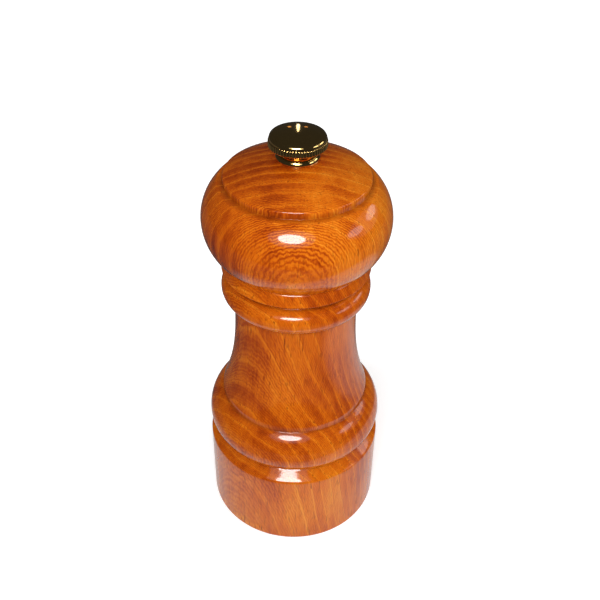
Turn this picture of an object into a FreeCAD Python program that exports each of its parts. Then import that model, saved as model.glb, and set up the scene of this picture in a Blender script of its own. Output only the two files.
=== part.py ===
import FreeCAD, Part
import math
import os

# Pepper mill turned from two pieces of wood, with a brass adjusting knob on top and a steel
# grinding set inside. Millimetres, +Z up, the axis of turning on Z, the foot on z = 0.

# Turned outline of the body, from the foot up
base_radius = 29.0
base_height = 29.0
foot_round = 0.8
shoulder_round = 1.2
shoulder_rise = 3.0
bead_inset = 0.15
bead_rise = 6.6
bead_lower_round = 7.9
bead_upper_round = 11.3
bead_step = 4.85
step_height = 2.0
waist_radius = 19.2
waist_length = 36.1
collar_radius = 23.1
collar_round = 4.35
collar_end_angle = 70.0
collar_groove_radius = 19.7
collar_groove_rise = 0.15
band_radius = 22.9
band_drop = 2.95
band_height = 4.0
band_taper = 1.4
band_round = 1.5

# Turned outline of the head
head_gap = 0.2
head_radius = 28.07
head_lower_height = 12.6
head_lower_round = 16.8
head_upper_round = 15.66
head_edge_angle = 47.0
crown_radius = 21.3
crown_wall = 1.6
crown_round = 0.7
crown_step = 0.25
crown_cap_round = 43.96

# Hollow of the body and the tenon of the head
recess_depth = 8.0
recess_margin = 0.2
chamber_radius = 13.5
socket_ledge = 1.9
socket_depth = 13.0
tenon_clearance = 0.2
tenon_gap = 0.5

# Knob
neck_radius = 4.8
neck_height = 1.9
neck_bead = 1.6
knob_radius = 8.35
knob_under_rise = 1.7
knob_under_radius = 7.9
knurl_height = 2.1
knurl_depth = 0.3
knurl_count = 60
knob_rim_inset = 0.25
knob_rim_height = 0.3
knob_rim_round = 1.3
knob_rim_angle = 70.0
knob_total_height = 8.6
knob_gap = 0.1
seat_margin = 1.6

# Shaft, with a thread at the top and a journal at the foot
shaft_width = 6.0
thread_radius = 2.5
thread_engagement = 5.3
thread_clearance = 0.05
thread_hole_clearance = 0.4
square_below_seat = 7.0
journal_radius = 2.5
journal_length = 8.0
journal_clearance = 0.06
shaft_clearance = 0.08
bore_clearance = 0.35
fine_travel = 0.6
end_gap = 0.6

# Burrs
rotor_lift = 3.5
rotor_fine_height = 8.5
rotor_fine_radius = 7.7
rotor_feed_height = 6.0
rotor_wall = 0.46
rotor_teeth = 12
rotor_foot_cut = 0.7
rotor_feed_cut = 1.2
rotor_twist = 24.0
tooth_lean = 0.75
grind_gap = 0.5
stator_height = 13.5
stator_wall = 1.35
stator_relief = 3.0
stator_relief_margin = 0.3
stator_teeth = 18
stator_cut = 1.0
stator_twist = -12.0
flange_overhang = 3.0
flange_thickness = 1.5
seat_clearance = 0.05

# Bridge over the burrs, with its rivets
bridge_span = 24.5
bridge_width = 8.0
strap_thickness = 1.2
bridge_bend = 0.5
bridge_foot = 3.2
bridge_eye_width = 2.6
bridge_clearance = 0.3
rivet_radius = 0.8
rivet_head_radius = 1.2
rivet_head_height = 0.7
rivet_depth = 3.0

# Spring and its washers
washer_thickness = 0.8
washer_width = 2.6
washer_clearance = 0.1
wire_radius = 0.55
spring_clearance = 0.8
spring_half_turns = 14
spring_seat_gap = 0.12

# Rotor washer and clip at the foot of the shaft
rotor_washer_radius = 5.0
rotor_washer_thickness = 1.0
rotor_washer_gap = 0.05
clip_radius = 4.2
clip_thickness = 0.7
clip_groove_depth = 0.5
clip_mouth = 3.6
clip_clearance = 0.05

# Retaining bar across the foot
bar_width = 9.0
bar_thickness = 1.5
bar_end_gap = 0.4
bar_screw_margin = 0.85

# Drive plate under the tenon
plate_margin = 0.7
plate_thickness = 1.5
plate_screw_offset = 8.5
plate_screw_count = 3

# Wood screws
screw_radius = 1.2
screw_clearance = 0.05
screw_tip = 1.5
slot_width = 0.6
slot_depth = 0.5
bar_screw_length = 9.0
bar_screw_head_radius = 2.2
bar_screw_head_height = 1.3
plate_screw_length = 8.0
plate_screw_head_radius = 2.1
plate_screw_sink = 0.9

# Heights worked out from the foot up
bead_radius = base_radius - bead_inset
shoulder_z = base_height + shoulder_rise
bead_z = shoulder_z + bead_rise
waist_foot_radius = bead_radius - bead_step
bead_upper_centre = bead_radius - bead_upper_round
bead_end_angle = math.degrees(math.acos((waist_foot_radius - bead_upper_centre) / bead_upper_round))
step_z = bead_z + bead_upper_round * math.sin(math.radians(bead_end_angle))
waist_z = step_z + step_height
waist_top_z = waist_z + waist_length
collar_centre = collar_radius - collar_round
collar_start_angle = -math.degrees(math.acos((waist_radius - collar_centre) / collar_round))
collar_z = waist_top_z - collar_round * math.sin(math.radians(collar_start_angle))
collar_top_z = collar_z + collar_round * math.sin(math.radians(collar_end_angle))
groove_z = collar_top_z + collar_groove_rise
band_z = groove_z + band_drop
body_top_z = band_z + band_height

head_z = body_top_z + head_gap
head_mid_z = head_z + head_lower_height
head_edge_z = head_mid_z + head_upper_round * math.sin(math.radians(head_edge_angle))
crown_foot_z = head_edge_z + crown_step
crown_z = crown_foot_z + crown_wall
crown_centre = crown_radius - crown_round
cap_z = crown_z - math.sqrt((crown_cap_round - crown_round) ** 2 - crown_centre ** 2)
seat_radius = neck_radius + seat_margin
seat_z = cap_z + math.sqrt(crown_cap_round ** 2 - seat_radius ** 2)
knob_z = seat_z + knob_gap

socket_radius = chamber_radius + socket_ledge
socket_z = body_top_z - socket_depth
tenon_z = socket_z + tenon_gap
tenon_radius = socket_radius - tenon_clearance
plate_z = tenon_z - plate_thickness

stator_radius = chamber_radius - seat_clearance
relief_radius = stator_radius - stator_wall
rotor_radius = relief_radius - stator_relief_margin - stator_cut - grind_gap
flange_radius = chamber_radius + flange_overhang
flange_z = recess_depth + flange_thickness
stator_top_z = recess_depth + stator_height
relief_z = recess_depth + stator_relief
rotor_z = recess_depth + rotor_lift
rotor_fine_z = rotor_z + rotor_fine_height
rotor_top_z = rotor_fine_z + rotor_feed_height
bridge_z = stator_top_z + bridge_span
lower_washer_z = rotor_top_z
upper_washer_z = bridge_z - washer_clearance - washer_thickness
shaft_corner = shaft_width / math.sqrt(2)
rotor_feed_radius = shaft_corner + rotor_wall + rotor_feed_cut
square_top_z = seat_z - square_below_seat
thread_top_z = knob_z + thread_engagement
shaft_bore_top_z = square_top_z + fine_travel + end_gap
rotor_washer_z = rotor_z - rotor_washer_gap - rotor_washer_thickness
clip_z = rotor_washer_z - rotor_washer_gap - clip_thickness
bar_z = recess_depth - bar_thickness
bar_screw_offset = flange_radius + seat_clearance + screw_radius + bar_screw_margin
recess_radius = bar_screw_offset + bar_screw_head_radius + recess_margin

ORIGIN = FreeCAD.Vector(0, 0, 0)
UP = FreeCAD.Vector(0, 0, 1)


class Outline:
    """Half section of a turned piece, drawn with a pen in the plane of radius and height."""

    def __init__(self, radius, height):
        self.start = FreeCAD.Vector(radius, 0, height)
        self.pen = self.start
        self.edges = []

    def line(self, radius, height):
        """Draw a straight stretch."""
        end = FreeCAD.Vector(radius, 0, height)
        self.edges.append(Part.LineSegment(self.pen, end).toShape())
        self.pen = end

    def arc(self, centre_radius, centre_height, end_angle):
        """Draw an arc about a centre to an angle in degrees, counted up from outwards."""
        centre = FreeCAD.Vector(centre_radius, 0, centre_height)
        spoke = self.pen - centre
        start_angle = math.degrees(math.atan2(spoke.z, spoke.x))
        middle = centre + polar_upright(spoke.Length, (start_angle + end_angle) / 2)
        end = centre + polar_upright(spoke.Length, end_angle)
        self.edges.append(Part.Arc(self.pen, middle, end).toShape())
        self.pen = end

    def corner(self, radius, height, next_radius, next_height, rounding):
        """Draw towards a corner and round it, leaving the pen on the way to the next point."""
        at = FreeCAD.Vector(radius, 0, height)
        back = (self.pen - at).normalize()
        ahead = (FreeCAD.Vector(next_radius, 0, next_height) - at).normalize()
        half = back.getAngle(ahead) / 2
        first = at + back * (rounding / math.tan(half))
        last = at + ahead * (rounding / math.tan(half))
        inwards = (back + ahead).normalize()
        middle = at + inwards * (rounding / math.sin(half) - rounding)
        self.line(first.x, first.z)
        self.edges.append(Part.Arc(first, middle, last).toShape())
        self.pen = last

    def flare(self, radius, height):
        """Draw a cubic curve whose radius eases to an upright end."""
        rise = height - self.pen.z
        poles = [self.pen]
        for third in (1, 2, 3):
            poles.append(FreeCAD.Vector(radius, 0, self.pen.z + rise * third / 3))
        curve = Part.BezierCurve()
        curve.setPoles(poles)
        self.edges.append(curve.toShape())
        self.pen = poles[-1]

    def face(self):
        """Close the outline and fill it."""
        self.line(self.start.x, self.start.z)
        return Part.Face(Part.Wire(self.edges))

    def turned(self):
        """Turn the filled outline once round the axis."""
        return self.face().revolve(ORIGIN, UP, 360)


def polar_upright(length, angle):
    """A vector in the plane of radius and height."""
    turn = math.radians(angle)
    return FreeCAD.Vector(length * math.cos(turn), 0, length * math.sin(turn))


def polar_flat(radius, angle, height):
    """A point on a circle round the axis."""
    turn = math.radians(angle)
    return FreeCAD.Vector(radius * math.cos(turn), radius * math.sin(turn), height)


def cylinder(radius, low, high, x=0.0, y=0.0):
    return Part.makeCylinder(radius, high - low, FreeCAD.Vector(x, y, low))


def ring(inner, outer, low, high):
    return cylinder(outer, low, high).cut(cylinder(inner, low, high))


def block(x_width, y_width, low, high, x=0.0, y=0.0):
    corner = FreeCAD.Vector(x - x_width / 2, y - y_width / 2, low)
    return Part.makeBox(x_width, y_width, high - low, corner)


def star(count, tip_radius, root_radius, height, turn=0.0, lean=0.5):
    """Closed outline of teeth round the axis, each root a share of a tooth after its tip."""
    step = 360.0 / count
    points = []
    for tooth in range(count):
        points.append(polar_flat(tip_radius, turn + tooth * step, height))
        points.append(polar_flat(root_radius, turn + (tooth + lean) * step, height))
    points.append(points[0])
    return Part.makePolygon(points)


def burr_radius(height):
    """Radius of the rotor's tooth tips on the fine part of its cone."""
    share = (height - rotor_z) / rotor_fine_height
    return rotor_radius + (rotor_fine_radius - rotor_radius) * share


def bar_screw_places():
    return [(-bar_screw_offset, 0.0), (bar_screw_offset, 0.0)]


def plate_screw_places():
    step = 360.0 / plate_screw_count
    places = [polar_flat(plate_screw_offset, number * step, 0) for number in range(plate_screw_count)]
    return [(place.x, place.y) for place in places]


def wooden_body():
    """The turned body: base, bead, waist and collar, hollow right through."""
    outline = Outline(recess_radius, 0)
    outline.corner(base_radius, 0, base_radius, base_height, foot_round)
    lower_centre = bead_radius - bead_lower_round
    groove_radius = lower_centre + math.sqrt(bead_lower_round ** 2 - bead_rise ** 2)
    outline.corner(base_radius, base_height, groove_radius, shoulder_z, shoulder_round)
    outline.line(groove_radius, shoulder_z)
    outline.arc(lower_centre, bead_z, 0)
    outline.arc(bead_upper_centre, bead_z, bead_end_angle)
    outline.line(waist_foot_radius, waist_z)
    outline.flare(waist_radius, waist_top_z)
    outline.arc(collar_centre, collar_z, collar_end_angle)
    outline.line(collar_groove_radius, groove_z)
    outline.line(band_radius, band_z)
    outline.corner(band_radius - band_taper, body_top_z, socket_radius, body_top_z, band_round)
    outline.line(socket_radius, body_top_z)
    outline.line(socket_radius, socket_z)
    outline.line(chamber_radius, socket_z)
    outline.line(chamber_radius, flange_z)
    outline.line(flange_radius + seat_clearance, flange_z)
    outline.line(flange_radius + seat_clearance, recess_depth)
    outline.line(recess_radius, recess_depth)
    body = outline.turned()
    for x, y in bar_screw_places():
        hole_top = bar_z + bar_screw_length + screw_clearance
        body = body.cut(cylinder(screw_radius + screw_clearance, recess_depth, hole_top, x, y))
    return body


def wooden_head():
    """The turned head: rounded sides, a stepped, domed crown and a tenon below."""
    bore = shaft_corner + bore_clearance
    thread_hole = thread_radius + thread_hole_clearance
    lower_centre = head_radius - head_lower_round
    rim_radius = lower_centre + math.sqrt(head_lower_round ** 2 - head_lower_height ** 2)
    cap_angle = math.degrees(math.atan2(crown_z - cap_z, crown_centre))
    outline = Outline(bore, tenon_z)
    outline.line(tenon_radius, tenon_z)
    outline.line(tenon_radius, head_z)
    outline.line(rim_radius, head_z)
    outline.arc(lower_centre, head_mid_z, 0)
    outline.arc(head_radius - head_upper_round, head_mid_z, head_edge_angle)
    outline.line(crown_radius, crown_foot_z)
    outline.line(crown_radius, crown_z)
    outline.arc(crown_centre, crown_z, cap_angle)
    outline.arc(0, cap_z, math.degrees(math.acos(seat_radius / crown_cap_round)))
    outline.line(thread_hole, seat_z)
    outline.line(thread_hole, shaft_bore_top_z)
    outline.line(bore, shaft_bore_top_z)
    head = outline.turned()
    for x, y in plate_screw_places():
        hole_top = plate_z + plate_screw_length + screw_clearance
        head = head.cut(cylinder(screw_radius + screw_clearance, tenon_z, hole_top, x, y))
    return head


def adjusting_knob():
    """The brass knob: beaded neck, knurled band, rounded rim and domed top over a blind threaded hole."""
    knurl_z = knob_z + neck_height + knob_under_rise
    rim_z = knurl_z + knurl_height
    rim_radius = knob_radius - knob_rim_inset
    neck = Outline(0, knob_z)
    neck.line(neck_radius + neck_bead, knob_z)
    neck.line(neck_radius + neck_bead, knob_z + neck_height - neck_bead)
    neck.arc(neck_radius, knob_z + neck_height - neck_bead, 90)
    neck.line(knob_under_radius, knurl_z)
    neck.line(0, knurl_z)
    knurl = Part.Face(star(knurl_count, knob_radius, knob_radius - knurl_depth, knurl_z))
    rim = Outline(0, rim_z)
    rim.line(rim_radius, rim_z)
    rim.line(rim_radius, rim_z + knob_rim_height)
    rim.arc(rim_radius - knob_rim_round, rim_z + knob_rim_height, knob_rim_angle)
    crown_edge = rim.pen.x
    crown = knob_z + knob_total_height - rim.pen.z
    dome_round = (crown_edge ** 2 + crown ** 2) / (2 * crown)
    rim.arc(0, knob_z + knob_total_height - dome_round, 90)
    solid = neck.turned().fuse(knurl.extrude(UP * knurl_height)).fuse(rim.turned())
    hole_top = thread_top_z + fine_travel + end_gap
    hole = cylinder(thread_radius + thread_clearance, knob_z, hole_top)
    return solid.cut(hole).removeSplitter()


def drive_shaft():
    """Square shaft with a threaded top and a round, grooved journal at the foot."""
    square = block(shaft_width, shaft_width, rotor_z, square_top_z)
    thread = cylinder(thread_radius, square_top_z, thread_top_z)
    journal = cylinder(journal_radius, rotor_z - journal_length, rotor_z)
    groove_low = clip_z - clip_clearance
    groove_high = clip_z + clip_thickness + clip_clearance
    groove = ring(journal_radius - clip_groove_depth, clip_radius, groove_low, groove_high)
    return square.fuse(thread).fuse(journal).cut(groove)


def rotor_burr():
    """The turning burr: a cone of leaning teeth on the square shaft."""
    foot = star(rotor_teeth, rotor_radius, rotor_radius - rotor_foot_cut, rotor_z, 0, tooth_lean)
    fine_root = rotor_fine_radius - (rotor_foot_cut + rotor_feed_cut) / 2
    fine = star(rotor_teeth, rotor_fine_radius, fine_root, rotor_fine_z, rotor_twist, tooth_lean)
    feed_root = rotor_feed_radius - rotor_feed_cut
    feed_turn = rotor_twist * (1 + rotor_feed_height / rotor_fine_height)
    feed = star(rotor_teeth, rotor_feed_radius, feed_root, rotor_top_z, feed_turn, tooth_lean)
    cone = Part.makeLoft([foot, fine, feed], True, True)
    hole = shaft_width + 2 * seat_clearance
    return cone.cut(block(hole, hole, rotor_z, rotor_top_z))


def stator_burr():
    """The fixed burr: a flanged ring with leaning teeth inside."""
    body = cylinder(stator_radius, recess_depth, stator_top_z)
    body = body.fuse(cylinder(flange_radius, recess_depth, flange_z))
    rings = []
    for height, turn in ((relief_z, 0.0), (stator_top_z, stator_twist)):
        tip = burr_radius(height) + grind_gap
        rings.append(star(stator_teeth, tip + stator_cut, tip, height, turn, tooth_lean))
    ground = body.cut(Part.makeLoft(rings, True, True))
    ground = ground.cut(cylinder(relief_radius, recess_depth, relief_z))
    for x in (-rivet_offset(), rivet_offset()):
        rivet_foot = stator_top_z - rivet_depth - seat_clearance
        ground = ground.cut(cylinder(rivet_radius + seat_clearance, rivet_foot, stator_top_z, x))
    return ground


def foot_reach():
    """Distance from the axis to the end of a bridge foot, clear of the round chamber."""
    return math.sqrt((chamber_radius - bridge_clearance) ** 2 - (bridge_width / 2) ** 2)


def rivet_offset():
    """Distance from the axis to the middle of the flat part of a bridge foot."""
    return foot_reach() - (bridge_foot - bridge_bend) / 2


def stator_bridge():
    """Bent strap that stands on the stator, guides the shaft and carries the spring."""
    reach = foot_reach()
    outer = reach - bridge_foot
    inner = outer - strap_thickness
    foot_top = stator_top_z + strap_thickness
    top = bridge_z + strap_thickness
    outer_bend = bridge_bend + strap_thickness
    outline = Outline(reach, stator_top_z)
    outline.line(reach, foot_top)
    outline.corner(outer, foot_top, outer, top, bridge_bend)
    outline.corner(outer, top, -outer, top, outer_bend)
    outline.corner(-outer, top, -outer, foot_top, outer_bend)
    outline.corner(-outer, foot_top, -reach, foot_top, bridge_bend)
    outline.line(-reach, foot_top)
    outline.line(-reach, stator_top_z)
    outline.corner(-inner, stator_top_z, -inner, bridge_z, outer_bend)
    outline.corner(-inner, bridge_z, inner, bridge_z, bridge_bend)
    outline.corner(inner, bridge_z, inner, stator_top_z, bridge_bend)
    outline.corner(inner, stator_top_z, reach, stator_top_z, outer_bend)
    strap = outline.face().extrude(FreeCAD.Vector(0, bridge_width, 0))
    strap = strap.translated(FreeCAD.Vector(0, -bridge_width / 2, 0))
    hole = shaft_corner + shaft_clearance
    strap = strap.fuse(cylinder(hole + bridge_eye_width, bridge_z, top)).cut(cylinder(hole, bridge_z, top))
    for x in (-rivet_offset(), rivet_offset()):
        strap = strap.cut(cylinder(rivet_radius + seat_clearance, stator_top_z, foot_top, x))
    return strap


def bridge_rivets():
    """Two round-headed rivets that hold the bridge's feet to the stator."""
    head_low = stator_top_z + strap_thickness
    ball = (rivet_head_radius ** 2 + rivet_head_height ** 2) / (2 * rivet_head_height)
    rivets = []
    for x in (-rivet_offset(), rivet_offset()):
        outline = Outline(0, stator_top_z - rivet_depth)
        outline.line(rivet_radius, stator_top_z - rivet_depth)
        outline.line(rivet_radius, head_low)
        outline.line(rivet_head_radius, head_low)
        outline.arc(0, head_low + rivet_head_height - ball, 90)
        rivets.append(outline.turned().translated(FreeCAD.Vector(x, 0, 0)))
    return Part.makeCompound(rivets)


def spring_washer(low):
    inner = shaft_corner + washer_clearance
    return ring(inner, inner + washer_width, low, low + washer_thickness)


def tangent_arc(start, corner, end):
    """Arc from start to end that touches both legs of the corner between them."""
    middle = (start + end) * 0.5
    half_chord = start.distanceToPoint(end) / 2
    height = corner.distanceToPoint(middle)
    radius = half_chord * start.distanceToPoint(corner) / height
    sagitta = radius - math.sqrt(radius ** 2 - half_chord ** 2)
    return Part.Arc(start, middle + (corner - middle) * (sagitta / height), end).toShape()


def biarc(start, start_way, end, end_way):
    """Two arcs that meet smoothly and follow a direction at each end."""
    chord = end - start
    ways = start_way + end_way
    spread = 2 * (1 - start_way.dot(end_way))
    along = chord.dot(ways)
    leg = (math.sqrt(along ** 2 + spread * chord.dot(chord)) - along) / spread
    first = start + start_way * leg
    last = end - end_way * leg
    joint = (first + last) * 0.5
    return [tangent_arc(start, first, joint), tangent_arc(joint, last, end)]


def least_gap(path, turn_length):
    """Least clear space between one turn of a wound wire and the next, measured on points."""
    count = int(path.Length)
    points = path.discretize(Number=count)
    skip = int(count * turn_length / path.Length / 2)
    nearest = min(
        points[first].distanceToPoint(points[second])
        for first in range(count)
        for second in range(first + skip, count)
    )
    return nearest - 2 * wire_radius


def spring():
    """Coil spring between the washers, one unbroken wire."""
    coil_radius = shaft_corner + spring_clearance + wire_radius
    low = lower_washer_z + washer_thickness + spring_seat_gap + wire_radius
    high = upper_washer_z - spring_seat_gap - wire_radius
    rise = (high - low) / spring_half_turns
    half_turn = math.pi * coil_radius
    edges = []
    for number in range(spring_half_turns):
        start = polar_flat(coil_radius, 180 * number, low + rise * number)
        end = polar_flat(coil_radius, 180 * (number + 1), low + rise * (number + 1))
        sign = 1 if number % 2 == 0 else -1
        start_way = FreeCAD.Vector(0, sign * half_turn, rise).normalize()
        end_way = FreeCAD.Vector(0, -sign * half_turn, rise).normalize()
        edges += biarc(start, start_way, end, end_way)
    path = Part.Wire(edges)
    print("spring: least gap between turns", round(least_gap(path, 2 * half_turn), 3), "mm")
    way_in = FreeCAD.Vector(0, half_turn, rise).normalize()
    section = Part.Wire(Part.Circle(FreeCAD.Vector(coil_radius, 0, low), way_in, wire_radius).toShape())
    return path.makePipeShell([section], True, False)


def rotor_washer():
    inner = journal_radius + journal_clearance
    return ring(inner, rotor_washer_radius, rotor_washer_z, rotor_washer_z + rotor_washer_thickness)


def shaft_clip():
    """Open clip in the journal's groove, which carries the rotor."""
    inner = journal_radius - clip_groove_depth + clip_clearance
    clip = ring(inner, clip_radius, clip_z, clip_z + clip_thickness)
    mouth = block(clip_radius, clip_mouth, clip_z, clip_z + clip_thickness, clip_radius / 2)
    return clip.cut(mouth)


def retaining_bar():
    """Bar across the foot that holds the stator in and steadies the end of the shaft."""
    reach = recess_radius - bar_end_gap
    bar = block(2 * reach, bar_width, bar_z, recess_depth).common(cylinder(reach, bar_z, recess_depth))
    bar = bar.cut(cylinder(journal_radius + journal_clearance, bar_z, recess_depth))
    for x, y in bar_screw_places():
        bar = bar.cut(cylinder(screw_radius + screw_clearance, bar_z, recess_depth, x, y))
    return bar


def wood_screw(head, low, shank_low, length):
    """A slotted screw that points up: its turned head, a straight shank and a pointed tip."""
    shank_high = low + length - screw_tip
    shank = cylinder(screw_radius, shank_low, shank_high)
    tip = Part.makeCone(screw_radius, 0, screw_tip, FreeCAD.Vector(0, 0, shank_high))
    foot = head.BoundBox.ZMin
    slot = block(2 * head.BoundBox.XLength, slot_width, foot - slot_depth, foot + slot_depth)
    return head.fuse(shank).fuse(tip).cut(slot)


def retaining_bar_screws():
    """Two round-headed wood screws through the retaining bar."""
    ball = (bar_screw_head_radius ** 2 + bar_screw_head_height ** 2) / (2 * bar_screw_head_height)
    outline = Outline(0, bar_z)
    outline.line(bar_screw_head_radius, bar_z)
    outline.arc(0, bar_z - bar_screw_head_height + ball, -90)
    screw = wood_screw(outline.turned(), bar_z, bar_z, bar_screw_length)
    return Part.makeCompound([screw.translated(FreeCAD.Vector(x, y, 0)) for x, y in bar_screw_places()])


def sunk_head(growth):
    """Cone of a countersunk head, grown a little for the hole that holds it."""
    return Part.makeCone(
        plate_screw_head_radius + growth, screw_radius + growth, plate_screw_sink,
        FreeCAD.Vector(0, 0, plate_z),
    )


def drive_plate():
    """Round plate under the tenon, with a square hole that turns the shaft."""
    hole = shaft_width + 2 * shaft_clearance
    plate = cylinder(chamber_radius - plate_margin, plate_z, tenon_z)
    plate = plate.cut(block(hole, hole, plate_z, tenon_z))
    for x, y in plate_screw_places():
        plate = plate.cut(cylinder(screw_radius + screw_clearance, plate_z, tenon_z, x, y))
        plate = plate.cut(sunk_head(screw_clearance).translated(FreeCAD.Vector(x, y, 0)))
    return plate


def drive_plate_screws():
    """Countersunk wood screws that hold the drive plate to the head."""
    screw = wood_screw(sunk_head(0), plate_z, plate_z + plate_screw_sink, plate_screw_length)
    return Part.makeCompound([screw.translated(FreeCAD.Vector(x, y, 0)) for x, y in plate_screw_places()])


pieces = {
    "wooden_body": wooden_body(),
    "wooden_head": wooden_head(),
    "adjusting_knob": adjusting_knob(),
    "drive_shaft": drive_shaft(),
    "rotor_burr": rotor_burr(),
    "rotor_washer": rotor_washer(),
    "shaft_clip": shaft_clip(),
    "stator_burr": stator_burr(),
    "stator_bridge": stator_bridge(),
    "bridge_rivets": bridge_rivets(),
    "spring": spring(),
    "lower_spring_washer": spring_washer(lower_washer_z),
    "upper_spring_washer": spring_washer(upper_washer_z),
    "retaining_bar": retaining_bar(),
    "retaining_bar_screws": retaining_bar_screws(),
    "drive_plate": drive_plate(),
    "drive_plate_screws": drive_plate_screws(),
}

os.makedirs("parts", exist_ok=True)
for name, shape in pieces.items():
    shape.exportStep(f"parts/{name}.step")
    box = shape.BoundBox
    spread = f"z {box.ZMin:.2f} to {box.ZMax:.2f}, width {box.XLength:.2f}"
    print(name, len(shape.Solids), "solids", shape.isValid(), round(shape.Volume, 1), "mm3", spread)
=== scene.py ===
"""Looks of a turned wooden pepper mill with a brass adjusting knob.

The frame holds the mill's bodies and its steel grinding set. This script turns the wooden body
and head, the brass knob, the threaded shaft and the coiled spring as smooth surfaces, gives every
piece its finish, and sets the mill on a white table under a soft lamp beside the camera.
"""

import logging
import math
from dataclasses import dataclass
from enum import Enum
from typing import Any

import bpy
import numpy as np
from mathutils import Matrix, Vector

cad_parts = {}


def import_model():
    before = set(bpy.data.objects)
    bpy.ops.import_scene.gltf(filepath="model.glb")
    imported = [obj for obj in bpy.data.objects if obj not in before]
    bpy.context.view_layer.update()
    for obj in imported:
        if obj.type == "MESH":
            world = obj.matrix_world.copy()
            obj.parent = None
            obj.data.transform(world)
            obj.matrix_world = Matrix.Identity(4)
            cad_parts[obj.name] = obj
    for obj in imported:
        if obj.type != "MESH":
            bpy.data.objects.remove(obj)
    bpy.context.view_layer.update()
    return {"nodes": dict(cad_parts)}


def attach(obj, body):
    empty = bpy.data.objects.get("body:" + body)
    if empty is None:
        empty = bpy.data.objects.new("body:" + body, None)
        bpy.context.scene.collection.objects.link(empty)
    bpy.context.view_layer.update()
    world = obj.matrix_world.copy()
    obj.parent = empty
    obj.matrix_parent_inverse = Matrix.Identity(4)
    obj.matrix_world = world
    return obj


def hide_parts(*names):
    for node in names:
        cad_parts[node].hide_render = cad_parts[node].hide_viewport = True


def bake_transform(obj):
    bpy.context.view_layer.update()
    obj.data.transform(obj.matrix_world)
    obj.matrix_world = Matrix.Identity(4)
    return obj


Array = np.ndarray
Colour = tuple[float, float, float]
Triple = tuple[float, float, float]
Pair = tuple[float, float]

LOG = logging.getLogger("pepper_mill")
MM = 0.001
CREASE = "crease"
CURVE_POINTS = 65
WHITE: Colour = (1.0, 1.0, 1.0)
BLACK: Colour = (0.0, 0.0, 0.0)


class Body(Enum):
    """Rigid bodies of the frame."""

    MILL = "mill_body"
    SPRING = "spring_set"
    SPINDLE = "spindle"
    HEAD = "head"
    KNOB = "knob"


class Slot(Enum):
    """Material slots of the record."""

    WOOD = "lacquered_wood"
    BRASS = "polished_brass"
    SHAFT = "shaft_steel"
    BURR = "burr_steel"
    PRESSED = "pressed_steel"
    SPRING = "spring_steel"
    SCREW = "screw_steel"


class Ray(Enum):
    """Kinds of light ray that the table and the room tell apart."""

    CAMERA = "Is Camera Ray"
    GLOSSY = "Is Glossy Ray"
    TRANSMISSION = "Is Transmission Ray"


class Value:
    """One shader socket, so that shader maths reads as a Python expression."""

    def __init__(self, bench: "Bench", socket: bpy.types.NodeSocket) -> None:
        """Wrap a socket of a bench."""
        self.bench = bench
        self.socket = socket

    def math(self, operation: str, *others: "Value | float") -> "Value":
        """Add a Math node.

        Args:
            operation: Blender's name of the operation.
            others: the second and third operands, where it has them.

        Returns:
            The node's result.
        """
        operands = dict(enumerate([self, *others]))
        return self.bench.node("ShaderNodeMath", {"operation": operation}, operands)

    def __add__(self, other: "Value | float") -> "Value":
        """Sum."""
        return self.math("ADD", other)

    __radd__ = __add__

    def __mul__(self, other: "Value | float") -> "Value":
        """Product."""
        return self.math("MULTIPLY", other)

    __rmul__ = __mul__

    def __sub__(self, other: "Value | float") -> "Value":
        """Difference."""
        return self.math("SUBTRACT", other)

    def __rsub__(self, other: float) -> "Value":
        """Number less this value."""
        return self * -1.0 + other

    def __truediv__(self, other: "Value | float") -> "Value":
        """Quotient."""
        return self.math("DIVIDE", other)

    def fade(self, low: float, high: float) -> "Value":
        """Ease from 0 at one value to 1 at another.

        Args:
            low: the value that gives 0.
            high: the value that gives 1, which may be the smaller.

        Returns:
            The eased value, between 0 and 1.
        """
        if low > high:
            return 1.0 - self.fade(high, low)
        settings = {"interpolation_type": "SMOOTHSTEP"}
        limits = {"Value": self, "From Min": low, "From Max": high}
        return self.bench.node("ShaderNodeMapRange", settings, limits)

    def slant(self, other: "Value") -> "Value":
        """Length across this side and another at right angles to it."""
        return (self * self + other * other).math("SQRT")

    def wave(self, length: float) -> "Value":
        """Sine between -1 and 1 that repeats every length."""
        return (self * (2.0 * math.pi / length)).math("SINE")


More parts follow.
